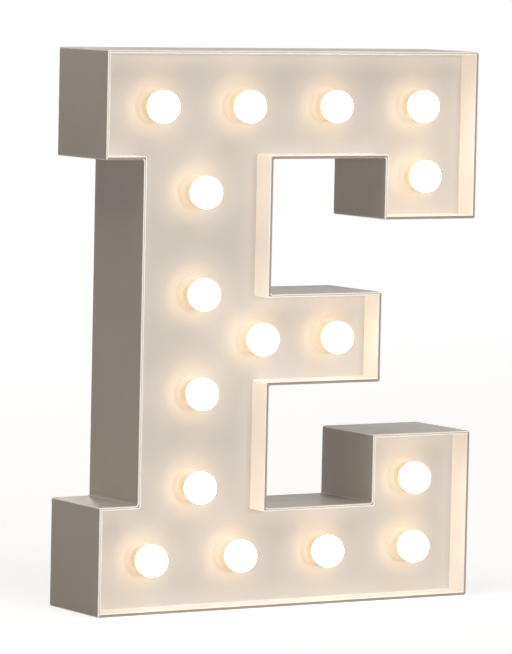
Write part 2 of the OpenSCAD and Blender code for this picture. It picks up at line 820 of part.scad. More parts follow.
module spring_coil() {
    last = spring_count * spring_sides;
    points = [for (i = [0 : spring_count]) each spring_ring(i / spring_count)];
    sides = [for (i = [0 : spring_count - 1], s = [0 : spring_sides - 1])
        let (a = i * spring_sides + s, b = i * spring_sides + (s + 1) % spring_sides)
        each [[a, a + spring_sides, b], [b, a + spring_sides, b + spring_sides]]];
    start = [for (s = [1 : spring_sides - 2]) [0, s, s + 1]];
    finish = [for (s = [1 : spring_sides - 2]) [last, last + s + 1, last + s]];
    polyhedron(points, concat(sides, start, finish));
}

module spring_bridge()
    color("silver")
        translate(at(stem_mid - cell_pitch / 2, tray_low + tray_wall + contact_t, cell_axis))
            spring_coil();

module spring_negative()
    color("silver")
        translate(at(stem_mid + cell_pitch / 2, tray_high - tray_wall - contact_t, cell_axis))
            rotate([180, 0, 0])
                spring_coil();

module switch_bracket()
    color("#9aa0a4")
        difference() {
            block(stem_mid, switch_mid, switch_span + 2 * switch_ear_end, switch_w, bracket_in, bracket_out);
            block(stem_mid, switch_mid, knob_l + switch_travel + 2 * slide_gap, knob_w + 2 * slide_gap,
                bracket_in - over, bracket_out + over);
            for (p = switch_screw_at)
                round_bar(p[0], p[1], switch_screw_d + 2 * screw_gap, bracket_in - over, bracket_out + over);
        }

module switch_body()
    color("#2b2b2d")
        difference() {
            block(stem_mid, switch_mid, switch_l, switch_w, switch_front, bracket_in);
            block(stem_mid, switch_mid, cavity_l, cavity_w, bracket_in - cavity_h, bracket_in + over);
        }

module switch_terminals()
    color("silver")
        for (i = [-1 : 1])
            block(stem_mid + i * terminal_pitch, switch_mid, terminal_w, terminal_t,
                terminal_end(), switch_front);

// Slider at its on position, on the left seen from the front
module switch_slider()
    color("#1f1f21") {
        slider_x = stem_mid - switch_travel / 2;
        block(slider_x, switch_mid, shoe_l, shoe_w, bracket_in - slide_gap - shoe_h, bracket_in - slide_gap);
        block(slider_x, switch_mid, knob_l, knob_w, bracket_in - slide_gap - eps, cover_out + knob_up);
    }

front_shell();
back_cover();
cover_screws();
bulb_clips();
led_plugs();
wire_positive();
wire_negative();
switch_lead();
battery_tray();
tray_screws();
battery_door();
cell(-1, true);  // cell_left
cell(1, false);  // cell_right
contact_positive();
contact_negative();
contact_bridge();
spring_negative();
spring_bridge();
switch_bracket();
switch_body();
switch_terminals();
switch_slider();
switch_screws();
for (i = [0 : len(lamps) - 1]) bulb_globe(lamps[i]);
for (i = [0 : len(lamps) - 1]) led(lamps[i]);
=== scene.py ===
"""Looks of the light-up letter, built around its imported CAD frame.

Moulded and stamped pieces are the CAD shapes with rounded edges. Lamps, cells, springs and the grip
of the switch are new meshes in the same places. Every piece has a procedural material. Lengths are
metres, in the frame of the CAD part: +Z is up, the lamps face -Y, and the origin is the middle of
the base.
"""

import math

import bmesh
import bpy
from mathutils import Matrix, Vector


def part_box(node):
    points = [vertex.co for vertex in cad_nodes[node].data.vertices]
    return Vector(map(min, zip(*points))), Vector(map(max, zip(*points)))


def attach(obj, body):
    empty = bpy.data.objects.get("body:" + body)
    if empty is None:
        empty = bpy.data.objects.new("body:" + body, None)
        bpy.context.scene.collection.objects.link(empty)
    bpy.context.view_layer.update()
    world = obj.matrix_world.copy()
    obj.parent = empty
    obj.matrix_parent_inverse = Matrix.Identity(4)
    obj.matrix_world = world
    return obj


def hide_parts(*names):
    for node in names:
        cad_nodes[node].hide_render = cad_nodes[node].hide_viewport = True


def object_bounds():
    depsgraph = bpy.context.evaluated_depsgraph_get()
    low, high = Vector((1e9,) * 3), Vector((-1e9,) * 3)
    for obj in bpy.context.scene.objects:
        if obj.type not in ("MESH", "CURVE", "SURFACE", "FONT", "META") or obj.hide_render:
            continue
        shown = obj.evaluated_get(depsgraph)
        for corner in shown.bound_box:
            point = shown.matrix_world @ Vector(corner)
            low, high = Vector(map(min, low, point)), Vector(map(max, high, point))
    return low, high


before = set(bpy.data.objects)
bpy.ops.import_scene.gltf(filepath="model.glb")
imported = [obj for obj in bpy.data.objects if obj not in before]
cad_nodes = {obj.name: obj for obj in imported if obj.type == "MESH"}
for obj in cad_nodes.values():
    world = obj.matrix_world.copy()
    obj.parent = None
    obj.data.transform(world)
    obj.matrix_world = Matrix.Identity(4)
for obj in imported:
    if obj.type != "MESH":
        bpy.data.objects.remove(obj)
cad_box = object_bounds()

MM = 0.001
LAMP_COUNT = 16


# Colours, written as sRGB values from 0 to 255
def rgb(red, green, blue):
    """Linear colour of an sRGB colour, with alpha."""
    def linear(value):
        value /= 255
        return value / 12.92 if value <= 0.04045 else ((value + 0.055) / 1.055) ** 2.4
    return (linear(red), linear(green), linear(blue), 1.0)


LETTER_CREAM = rgb(191, 180, 168)
FACE_GREY = rgb(188, 182, 175)
# Pale rim and outer corners: a painted highlight, and painted lamp light beside the recess.
RIM_PALE = rgb(251, 246, 238)
# Paler recess walls: painted lamp light.
WALL_CREAM = rgb(249, 243, 235)
# Brown rim edges that face right or down: painted shade.
RIM_SHADE = rgb(166, 148, 132)
SEAM_TAN = rgb(168, 143, 120)
COVER_CREAM = rgb(203, 195, 184)
TRAY_CREAM = rgb(188, 180, 168)
GLOBE_MILK = rgb(244, 236, 220)
COLLAR_MILK = rgb(188, 182, 172)
CLIP_NYLON = rgb(196, 190, 178)
LED_RESIN = rgb(240, 214, 150)
WIRE_RED = rgb(150, 34, 28)
WIRE_BLACK = rgb(36, 36, 39)
JACKET_BLUE = rgb(52, 78, 98)
JACKET_BAND = rgb(196, 190, 172)
SWITCH_BLACK = rgb(34, 34, 36)
STEEL_GREY = rgb(132, 133, 136)
MARK_BROWN = rgb(88, 80, 72)
NICKEL = rgb(190, 186, 176)
ZINC = rgb(164, 168, 172)
FLOOR_WHITE = rgb(186, 184, 181)


# Node helpers
NOISE_LOW, NOISE_HIGH = 0.3, 0.7
# Sockets of the Mix node for colours, which share their names with those for numbers
MIX_FIRST, MIX_SECOND, MIX_RESULT = 6, 7, 2


def new_material(name):
    material = bpy.data.materials.new(name)
    material.use_nodes = True
    tree = material.node_tree
    return material, tree, tree.nodes["Principled BSDF"]


def add_node(tree, kind, settings=None, **inputs):
    """A node with its own settings and the values of its unlinked inputs."""
    node = tree.nodes.new(kind)
    for name, value in (settings or {}).items():
        setattr(node, name, value)
    for name, value in inputs.items():
        node.inputs[name.replace("_", " ")].default_value = value
    return node


def object_point(tree):
    return tree.nodes.new("ShaderNodeTexCoord").outputs["Object"]


def noise(tree, point, size, detail, fineness=None):
    """Noise with spots of about that size in metres, or that many times finer along each axis."""
    if fineness:
        mapping = add_node(tree, "ShaderNodeMapping", Scale=fineness)
        tree.links.new(point, mapping.inputs["Vector"])
        point = mapping.outputs["Vector"]
    node = add_node(tree, "ShaderNodeTexNoise", Scale=1 / size, Detail=detail)
    tree.links.new(point, node.inputs["Vector"])
    return node.outputs["Fac"]


def spread(tree, value, low, high):
    """Maps the middle of a noise's range to low and high."""
    node = add_node(tree, "ShaderNodeMapRange", From_Min=NOISE_LOW, From_Max=NOISE_HIGH,
        To_Min=low, To_Max=high)
    tree.links.new(value, node.inputs["Value"])
    return node.outputs["Result"]


def mix_colours(tree, factor, first, second):
    """Colour between two colours, each a value or another node's output."""
    node = tree.nodes.new("ShaderNodeMix")
    node.data_type = "RGBA"
    tree.links.new(factor, node.inputs["Factor"])
    for number, colour in ((MIX_FIRST, first), (MIX_SECOND, second)):
        socket = node.inputs[number]
        if isinstance(colour, bpy.types.NodeSocket):
            tree.links.new(colour, socket)
        else:
            socket.default_value = colour
    return node.outputs[MIX_RESULT]


def scaled(colour, share):
    return (colour[0] * share, colour[1] * share, colour[2] * share, 1.0)


def add_bump(tree, shader, height, depth, strength):
    bump = add_node(tree, "ShaderNodeBump", Strength=strength, Distance=depth)
    tree.links.new(height, bump.inputs["Height"])
    tree.links.new(bump.outputs["Normal"], shader.inputs["Normal"])


# Materials
CLOUD_DARK, CLOUD_LIGHT = 0.965, 1.02
SPECK_DARK = 0.8
SPECK_MOST = 0.12
# Size of a speck to that of the grain, and of a cloud to that of a spot of gloss
SPECK_TO_GRAIN = 1.6
CLOUD_TO_GLOSS = 6
GRAIN_DEPTH = 0.04 * MM
PLASTIC_SPECULAR = 0.36
CORNER_REACH = 9 * MM
CORNER_SAMPLES = 8


def moulded_plastic(name, colour, roughness, grain, grain_strength, cloud=28 * MM, uneven=0.055,
        painted_corner_light=0.0):
    """Satin plastic: faint clouds and specks of colour, a fine mould grain, and uneven gloss.

    With painted corner light, its colour is that much lighter deep in corners and beside other
    pieces, a painted light for light bounced off walls and the glow around the lamps.
    """
    material, tree, shader = new_material(name)
    point = object_point(tree)
    clouds = spread(tree, noise(tree, point, cloud, 3.0), 0.0, 1.0)
    base = mix_colours(tree, clouds, scaled(colour, CLOUD_DARK), scaled(colour, CLOUD_LIGHT))
    specks = spread(tree, noise(tree, point, grain * SPECK_TO_GRAIN, 1.0), 0.0, SPECK_MOST)
    base = mix_colours(tree, specks, base, scaled(colour, SPECK_DARK))
    # Painted light: ambient occlusion lightens the colour where other surfaces are near.
    if painted_corner_light:
        openness = add_node(tree, "ShaderNodeAmbientOcclusion", {"samples": CORNER_SAMPLES},
            Distance=CORNER_REACH)
        base = mix_colours(tree, openness.outputs["AO"], scaled(colour, 1 + painted_corner_light), base)
    tree.links.new(base, shader.inputs["Base Color"])
    patches = noise(tree, point, cloud / CLOUD_TO_GLOSS, 4.0)
    gloss = spread(tree, patches, roughness - uneven, roughness + uneven)
    tree.links.new(gloss, shader.inputs["Roughness"])
    shader.inputs["Specular IOR Level"].default_value = PLASTIC_SPECULAR
    add_bump(tree, shader, noise(tree, point, grain, 3.0), GRAIN_DEPTH, grain_strength)
    return material


STAIN_SIZE = 4 * MM
STAIN_DARK = 0.8
MARK_SIZE = 0.25 * MM
MARK_DEPTH = 0.01 * MM
MARK_STRENGTH = 0.2
METAL_SMOOTHER, METAL_ROUGHER = 0.08, 0.1


def worked_metal(name, colour, roughness, fineness):
    """Metal with darker stains, and with fine marks that are finer still along some axes."""
    material, tree, shader = new_material(name)
    shader.inputs["Metallic"].default_value = 1.0
    point = object_point(tree)
    stains = spread(tree, noise(tree, point, STAIN_SIZE, 4.0), 0.0, 1.0)
    base = mix_colours(tree, stains, scaled(colour, STAIN_DARK), colour)
    tree.links.new(base, shader.inputs["Base Color"])
    marks = noise(tree, point, MARK_SIZE, 3.0, fineness)
    gloss = spread(tree, marks, roughness - METAL_SMOOTHER, roughness + METAL_ROUGHER)
    tree.links.new(gloss, shader.inputs["Roughness"])
    add_bump(tree, shader, marks, MARK_DEPTH, MARK_STRENGTH)
    return material


WIRE_PATCH = 3 * MM
WIRE_DARK = 0.8
WIRE_GLOSS = (0.36, 0.52)
WIRE_GRAIN = 0.4 * MM
WIRE_GRAIN_DEPTH = 0.02 * MM
WIRE_GRAIN_STRENGTH = 0.2


def insulated_wire(name, colour):
    """Soft insulation with a slight sheen and dull patches."""
    material, tree, shader = new_material(name)
    point = object_point(tree)
    patches = spread(tree, noise(tree, point, WIRE_PATCH, 3.0), 0.0, 1.0)
    base = mix_colours(tree, patches, scaled(colour, WIRE_DARK), colour)
    tree.links.new(base, shader.inputs["Base Color"])
    tree.links.new(spread(tree, patches, *WIRE_GLOSS), shader.inputs["Roughness"])
    grain = noise(tree, point, WIRE_GRAIN, 2.0)
    add_bump(tree, shader, grain, WIRE_GRAIN_DEPTH, WIRE_GRAIN_STRENGTH)
    return material


def glow(tree, shader, low, high, stops):
    """Light that changes along the letter's depth.

    Each stop is a share of the way from low to high, and the light there.
    """
    split = tree.nodes.new("ShaderNodeSeparateXYZ")
    tree.links.new(object_point(tree), split.inputs["Vector"])
    along = add_node(tree, "ShaderNodeMapRange", From_Min=low, From_Max=high)
    tree.links.new(split.outputs["Y"], along.inputs["Value"])
    ramp = tree.nodes.new("ShaderNodeValToRGB")
    elements = ramp.color_ramp.elements
    elements.remove(elements[1])
    strongest = max(max(light) for _, light in stops)
    for number, (place, light) in enumerate(stops):
        element = elements.new(place) if number else elements[0]
        element.position = place
        element.color = [value / strongest for value in light] + [1.0]
    tree.links.new(along.outputs["Result"], ramp.inputs["Fac"])
    tree.links.new(ramp.outputs["Color"], shader.inputs["Emission Color"])
    shader.inputs["Emission Strength"].default_value = strongest


FROST_PATCH = 2.5 * MM
FROST_DARK = 0.94
FROST_GLOSS = (0.5, 0.62)
FROST_GRAIN = 0.2 * MM
FROST_GRAIN_DEPTH = 0.02 * MM
FROST_GRAIN_STRENGTH = 0.3


def frosted_globe(name, colour, low, high, stops):
    """Frosted lamp cap, lit from inside, with a fine blasted texture."""
    material, tree, shader = new_material(name)
    point = object_point(tree)
    patches = spread(tree, noise(tree, point, FROST_PATCH, 3.0), 0.0, 1.0)
    base = mix_colours(tree, patches, scaled(colour, FROST_DARK), colour)
    tree.links.new(base, shader.inputs["Base Color"])
    tree.links.new(spread(tree, patches, *FROST_GLOSS), shader.inputs["Roughness"])
    grain = noise(tree, point, FROST_GRAIN, 2.0)
    add_bump(tree, shader, grain, FROST_GRAIN_DEPTH, FROST_GRAIN_STRENGTH)
    glow(tree, shader, low, high, stops)
    return material


SCUFF_SIZE = 3 * MM
SCUFF_FINENESS = (1, 1, 0.2)
SCUFF_DARK = 0.6
SCUFF_MOST = 0.25
FILM_PATCH = 5 * MM
FILM_GLOSS = (0.24, 0.4)
FILM_COAT = 0.3
FILM_WAVE = 1.5 * MM
FILM_WAVE_DEPTH = 0.03 * MM
FILM_WAVE_STRENGTH = 0.15


def cell_jacket(name, low, high):
    """Printed film of a cell: a plain body and a pale band towards one end, between two heights."""
    material, tree, shader = new_material(name)
    point = object_point(tree)
    split = tree.nodes.new("ShaderNodeSeparateXYZ")
    tree.links.new(point, split.inputs["Vector"])
    band = add_node(tree, "ShaderNodeMapRange", From_Min=low, From_Max=high)
    tree.links.new(split.outputs["Z"], band.inputs["Value"])
    scuffs = spread(tree, noise(tree, point, SCUFF_SIZE, 5.0, SCUFF_FINENESS), 0.0, SCUFF_MOST)
    printed = mix_colours(tree, band.outputs["Result"], JACKET_BLUE, JACKET_BAND)
    base = mix_colours(tree, scuffs, printed, scaled(JACKET_BAND, SCUFF_DARK))
    tree.links.new(base, shader.inputs["Base Color"])
    gloss = spread(tree, noise(tree, point, FILM_PATCH, 3.0), *FILM_GLOSS)
    tree.links.new(gloss, shader.inputs["Roughness"])
    shader.inputs["Coat Weight"].default_value = FILM_COAT
    waves = noise(tree, point, FILM_WAVE, 3.0)
    add_bump(tree, shader, waves, FILM_WAVE_DEPTH, FILM_WAVE_STRENGTH)
    return material


# Helpers for pieces
MERGE = 0.02 * MM
FLAT = math.radians(1.0)
SHARP = math.radians(32.0)
EDGE_SEGMENTS = 3
TURN_STEPS = 56


def paint(material, *names):
    """Gives CAD nodes that stay as they are their material."""
    for name in names:
        slots = cad_nodes[name].data.materials
        slots.clear()
        slots.append(material)


def link(name, mesh, body, slot, *replaced):
    """New piece that rides on a body and stands for CAD nodes, if any; its slot is not used."""
    piece = bpy.data.objects.new(name, mesh)
    bpy.context.scene.collection.objects.link(piece)
    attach(piece, body)
    if replaced:
        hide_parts(*replaced)
    return piece


def rounded_copy(node, name, slot, materials, edge, body="letter", finish=None):
    """Copy of a CAD node with its flat faces joined and its edges rounded, in the node's place.

    The finish function may give its faces other materials, and returns the share of the rounding of
    each edge that isn't rounded in full.
    """
    mesh = cad_nodes[node].data.copy()
    mesh.name = name
    normals = mesh.attributes.get("custom_normal")
    if normals:
        mesh.attributes.remove(normals)
    solid = bmesh.new()
    solid.from_mesh(mesh)
    bmesh.ops.remove_doubles(solid, verts=solid.verts, dist=MERGE)
    bmesh.ops.dissolve_limit(solid, angle_limit=FLAT, verts=solid.verts, edges=solid.edges)
    for face in solid.faces:
        face.material_index = 0
    weight = solid.edges.layers.float.new("bevel_weight_edge")
    shares = finish(solid) if finish else {}
    for seam in solid.edges:
        sharp = seam.is_manifold and seam.calc_face_angle() > SHARP
        seam[weight] = shares.get(seam, 1.0) if sharp else 0.0
    for face in solid.faces:
        face.smooth = True
    mesh.materials.clear()
    for material in materials:
        mesh.materials.append(material)
    solid.to_mesh(mesh)
    solid.free()
    piece = link(name, mesh, body, slot, node)
    bevel = piece.modifiers.new("rounded edges", "BEVEL")
    bevel.width = edge
    bevel.segments = EDGE_SEGMENTS
    bevel.limit_method = "WEIGHT"
    bevel.use_clamp_overlap = False
    bevel.harden_normals = True


def revolve(node, name, profile, place, slot, materials):
    """Closed surface of revolution about the place's Z axis, which stands for a node.

    The profile is a list of (radius, height, material index) from one pole round to the other.
    """
    solid = bmesh.new()
    rings = []
    turn = [2 * math.pi * k / TURN_STEPS for k in range(TURN_STEPS)]
    for radius, height, _ in profile:
        if radius == 0:
            rings.append([solid.verts.new((0, 0, height))] * TURN_STEPS)
        else:
            ring = [(radius * math.cos(a), radius * math.sin(a), height) for a in turn]
            rings.append([solid.verts.new(point) for point in ring])
    for (first, second), (_, _, index) in zip(zip(rings, rings[1:]), profile[1:]):
        for k in range(TURN_STEPS):
            after = (k + 1) % TURN_STEPS
            corners = (first[k], second[k], second[after], first[after])
            face = solid.faces.new(list(dict.fromkeys(corners)))
            face.smooth = True
            face.material_index = index
    bmesh.ops.recalc_face_normals(solid, faces=solid.faces)
    solid.transform(place)
    mesh = bpy.data.meshes.new(name)
    solid.to_mesh(mesh)
    solid.free()
    for material in materials:
        mesh.materials.append(material)
    mesh.set_sharp_from_angle(angle=SHARP)
    link(name, mesh, "letter", slot, node)


def arc(radius, start, end, steps, height, index):
    """Part of a ball's profile between two angles from its lower pole."""
    angles = [start + (end - start) * k / steps for k in range(steps + 1)]
    return [(abs(radius * math.sin(a)), height - radius * math.cos(a), index) for a in angles]


# Front shell
RECESS = 10 * MM
WALL_DEPTH = 30 * MM
# Width and rise of each band of the rim, from its two edges to the seam
RIM_BANDS = ((0.35 * MM, 0.0), (0.25 * MM, 0.0), (0.06 * MM, -0.12 * MM))
# Numbers of the shell's materials after its own plastic, which is 0
PALE, SEAM, FACE, SHADE, WALL = 1, 2, 3, 4, 5
# Parts of a face's normal: along an axis, across it, and slanted between two axes
ALONG, ACROSS, SLANTED = 0.99, 0.01, 0.5
TURNED_AWAY = 0.3


# The rim's painted shade goes on edges that face right or down.
def faces_right_or_down(way):
    return way.x - way.z > TURNED_AWAY


def finish_shell(solid):
    """Materials of the rim, the recess and the outer corners, and a seam along the rim's middle.

    The rim is pale, a painted highlight, and mostly brown, a painted shade, where its outer edge
    faces right or down.
    """
    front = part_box("front_shell")[0].y
    rim = []
    shaded = {}
    inside = set()
    for face in solid.faces:
        depth = face.calc_center_median().y - front
        depths = [corner.co.y for corner in face.verts]
        long_edges = [edge for edge in face.edges if edge.calc_length() > WALL_DEPTH]
        corner_strip = long_edges and min(abs(face.normal.x), abs(face.normal.z)) > SLANTED
        if face.normal.y < -ALONG and abs(depth) < MERGE:
            rim.append(face)
        elif face.normal.y < -ALONG and abs(depth - RECESS) < MERGE:
            face.material_index = FACE
        elif abs(face.normal.y) < ACROSS and abs(depth - RECESS / 2) < MERGE:
            # The recess walls are a paler cream: painted lamp light.
            face.material_index = WALL
            shaded[face] = faces_right_or_down(-face.normal)
            inside.add(face)
        elif max(depths) - min(depths) > WALL_DEPTH:
            shaded[face] = faces_right_or_down(face.normal)
            if corner_strip and all(edge.is_convex for edge in long_edges):
                # Outer corners are pale: a painted highlight.
                face.material_index = PALE
    shares = {}
    for number, (width, rise) in enumerate(RIM_BANDS):
        strips = bmesh.ops.inset_region(solid, faces=rim, thickness=width, depth=rise,
            use_boundary=True, use_even_offset=True)["faces"]
        found = {}
        for strip in strips:
            beside = [side for edge in strip.edges for side in edge.link_faces if side in shaded]
            found[strip] = shaded[beside[0]]
            if beside[0] in inside:
                inside.add(strip)
            # Brown strips are painted shade; pale strips are a painted highlight, and painted lamp
            # light beside the recess.
            brown = found[strip] and not (number == 0 and strip in inside)
            strip.material_index = SHADE if brown else SEAM if rise else PALE
            if rise:
                shares.update({edge: 0.0 for edge in strip.edges})
        shaded = found
    for face in rim:
        face.material_index = SEAM
    return shares


# Back cover
MARK_H = 0.3 * MM
MARK_ROUND = 0.25


def finish_cover(solid):
    """Dark marks beside the switch, raised on the cover, with finely rounded edges."""
    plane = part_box("back_cover")[1].y - MARK_H
    shares = {}
    for face in solid.faces:
        if face.calc_center_median().y > plane + MERGE:
            face.material_index = 1
            shares.update({edge: MARK_ROUND for edge in face.edges})
    return shares


# Lamps
def lamp_materials(front, back):
    """Materials of the globes, white in front and warm behind, and of collars that fade out."""
    globe = frosted_globe("globe_frosted", GLOBE_MILK, front, back, [
        (0.0, (4.3, 4.5, 4.9)),
        (0.4, (4.3, 4.5, 4.9)),
        (0.5, (3.0, 2.3, 1.6)),
        (0.6, (6.2, 4.3, 2.1)),
    ])
    # The collar's warm glow is partly the lamp's light through its plastic and partly painted
    # light: on the skirt it fills the globe's shadow on the face, fading out at the edge.
    collar = frosted_globe("lamp_collar", COLLAR_MILK, front, back, [
        (0.7, (0.44, 0.31, 0.17)),
        (0.93, (0.45, 0.33, 0.18)),
        (0.965, (0.38, 0.30, 0.20)),
        (0.99, (0.20, 0.16, 0.13)),
        (1.0, (0.0, 0.0, 0.0)),
    ])
    return globe, collar


COLLAR_R = 5.2 * MM
NECK_R = 3.8 * MM
BORE_R = 2.55 * MM
SEAT_R = 2.95 * MM
SEAT_DEEP = 1.0 * MM
SHELL = 1.0 * MM
GLOBE_UP = 8.0 * MM
COLLAR_EDGE = 0.45 * MM
SKIRT_H = 0.6 * MM
SKIRT_W = 2.7 * MM
SKIRT_END = 0.03 * MM
SKIRT_STEPS = 8
GLOBE_STEPS = 22
HOLLOW_STEPS = 14


def lamp_profile(ball, neck_end):
    """Hollow globe, collar with a thin skirt, and neck.

    Height 0 is the letter's face, and the globe is below it.
    """
    inner = ball - SHELL
    meet = math.pi - math.asin(COLLAR_R / ball)
    bore = math.pi - math.asin(BORE_R / inner)
    collar_top = -GLOBE_UP - ball * math.cos(meet)
    outside = arc(ball, 0.0, meet, GLOBE_STEPS, -GLOBE_UP, 0)
    outside.append((COLLAR_R, collar_top + COLLAR_EDGE, 1))
    for k in range(SKIRT_STEPS + 1):
        share = k / SKIRT_STEPS
        height = -SKIRT_END - SKIRT_H * (1 - share) ** 2
        outside.append((COLLAR_R + SKIRT_W * share ** 1.5, height, 1))
    outside.append((COLLAR_R + SKIRT_W, -SKIRT_END / 2, 1))
    outside += [(NECK_R, -SKIRT_END / 2, 1), (NECK_R, neck_end, 1)]
    inside = [(SEAT_R, neck_end, 1), (SEAT_R, SEAT_DEEP, 1), (BORE_R, SEAT_DEEP, 1)]
    inside += arc(inner, bore, 0.0, HOLLOW_STEPS, -GLOBE_UP, 1)
    return outside + inside


def make_lamps():
    low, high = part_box("bulb_globe_01")
    ball = (high.x - low.x) / 2
    face = low.y + ball + GLOBE_UP
    profile = lamp_profile(ball, high.y - face)
    materials = lamp_materials(low.y, face)
    towards_back = Matrix.Rotation(math.radians(-90), 4, "X")
    for number in range(1, LAMP_COUNT + 1):
        node = f"bulb_globe_{number:02d}"
        low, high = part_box(node)
        seat = Vector(((low.x + high.x) / 2, face, (low.z + high.z) / 2))
        place = Matrix.Translation(seat) @ towards_back
        revolve(node, f"lamp_{number:02d}", profile, place, "globe_frosted", materials)


# Battery cells and springs
BUTTON_R = 2.75 * MM
BUTTON_H = 1.3 * MM
CELL_ROLL = 0.5 * MM
CELL_CUT = CELL_ROLL * 0.3
CELL_RIM = 1.1 * MM
CELL_DISH = 0.25 * MM
CELL_BEAD = 0.4 * MM
BAND_H = 9 * MM
BAND_EDGE = 0.1 * MM


def upside_down(turned):
    """Turn that stands a cell or spring on its other end."""
    return Matrix.Rotation(math.pi, 4, "X") if turned else Matrix.Identity(4)


def make_cell(node, name, button_up, metal):
    """Cell with a film jacket rolled over its ends, a dished base and a button."""
    low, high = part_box(node)
    length = high.z - low.z
    radius = (high.x - low.x) / 2
    rim = radius - CELL_RIM
    shoulder = length - BUTTON_H
    base = [(0, CELL_DISH, 1), (rim - CELL_BEAD, CELL_DISH, 1), (rim, 0, 1)]
    film = [
        (rim + CELL_BEAD, 0, 0), (radius - CELL_CUT, CELL_CUT, 0), (radius, CELL_ROLL, 0),
        (radius, shoulder - CELL_ROLL, 0), (radius - CELL_CUT, shoulder - CELL_CUT, 0),
        (rim, shoulder, 0),
    ]
    button = [
        (rim - CELL_BEAD, shoulder - CELL_DISH, 1), (BUTTON_R + CELL_BEAD, shoulder - CELL_DISH, 1),
        (BUTTON_R, shoulder, 1), (BUTTON_R, length - CELL_BEAD, 1),
        (BUTTON_R - CELL_BEAD, length, 1), (0, length, 1),
    ]
    if button_up:
        foot = low.z
        jacket = cell_jacket(f"{name}_jacket", high.z - BAND_H, high.z - BAND_H + BAND_EDGE)
    else:
        foot = high.z
        jacket = cell_jacket(f"{name}_jacket", low.z + BAND_H + BAND_EDGE, low.z + BAND_H)
    axis = Vector(((low.x + high.x) / 2, (low.y + high.y) / 2, foot))
    place = Matrix.Translation(axis) @ upside_down(not button_up)
    revolve(node, name, base + film + button, place, "cell_jacket", [jacket, metal])


def cell_axis_x(spring):
    """Middle of the cell that a spring presses."""
    cell = "cell_left" if spring == "spring_bridge" else "cell_right"
    low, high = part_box(cell)
    return (low.x + high.x) / 2


CELL_AXIS_Y = sum(corner.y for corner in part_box("cell_left")) / 2
SPRING_TURNS = 3
SPRING_STEPS = 40 * SPRING_TURNS
SPRING_SIDES = 10
SPRING_WIRE = 0.7 * MM
SPRING_BASE = 9.0 * MM
SPRING_TIP = 6.0 * MM


def make_spring(node, name, base_up, metal):
    """Conical contact spring, one round wire from its contact to its cell."""
    low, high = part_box(node)
    length = high.z - low.z - SPRING_WIRE
    solid = bmesh.new()
    rings = []
    for i in range(SPRING_STEPS + 1):
        share = i / SPRING_STEPS
        angle = 2 * math.pi * SPRING_TURNS * share
        radius = (SPRING_BASE + (SPRING_TIP - SPRING_BASE) * share - SPRING_WIRE) / 2
        out = Vector((math.cos(angle), math.sin(angle), 0))
        centre = out * radius + Vector((0, 0, SPRING_WIRE / 2 + length * share))
        ring = []
        for k in range(SPRING_SIDES):
            around = 2 * math.pi * k / SPRING_SIDES
            side = out * math.cos(around) + Vector((0, 0, math.sin(around)))
            ring.append(solid.verts.new(centre + SPRING_WIRE / 2 * side))
        rings.append(ring)
    for first, second in zip(rings, rings[1:]):
        for k in range(SPRING_SIDES):
            after = (k + 1) % SPRING_SIDES
            face = solid.faces.new((first[k], second[k], second[after], first[after]))
            face.smooth = True
    solid.faces.new(rings[0])
    solid.faces.new(rings[-1])
    bmesh.ops.recalc_face_normals(solid, faces=solid.faces)
    foot = Vector((cell_axis_x(node), CELL_AXIS_Y, high.z if base_up else low.z))
    solid.transform(Matrix.Translation(foot) @ upside_down(base_up))
    mesh = bpy.data.meshes.new(name)
    solid.to_mesh(mesh)
    solid.free()
    mesh.materials.append(metal)
    mesh.set_sharp_from_angle(angle=SHARP)
    link(name, mesh, "letter", "contact_metal", node)


# Grip on the switch's knob
RIDGE_L = 2.0 * MM
RIDGE_R = 0.22 * MM
RIDGE_SIDES = 16
RIDGE_PITCH = 0.85 * MM
RIDGE_SUNK = RIDGE_R * 0.3
RIDGE_ROUND = 0.08 * MM


def make_knob_ridges(material):
    """Three ridges across the knob, partly sunk into it."""
    low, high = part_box("switch_slider")
    middle_x = (low.x + high.x) / 2
    middle_z = (low.z + high.z) / 2
    solid = bmesh.new()
    for k in (-1, 0, 1):
        place = Matrix.Translation((middle_x + k * RIDGE_PITCH, high.y - RIDGE_SUNK, middle_z))
        bmesh.ops.create_cone(solid, cap_ends=True, segments=RIDGE_SIDES, radius1=RIDGE_R,
            radius2=RIDGE_R, depth=RIDGE_L, matrix=place)
    mesh = bpy.data.meshes.new("knob_ridges")
    for face in solid.faces:
        face.smooth = len(face.verts) == 4
    solid.to_mesh(mesh)
    solid.free()
    mesh.materials.append(material)
    ridges = link("knob_ridges", mesh, "slider", "switch_plastic")
    soften = ridges.modifiers.new("rounded ends", "BEVEL")
    soften.width = RIDGE_ROUND
    soften.segments = 2
    soften.limit_method = "ANGLE"


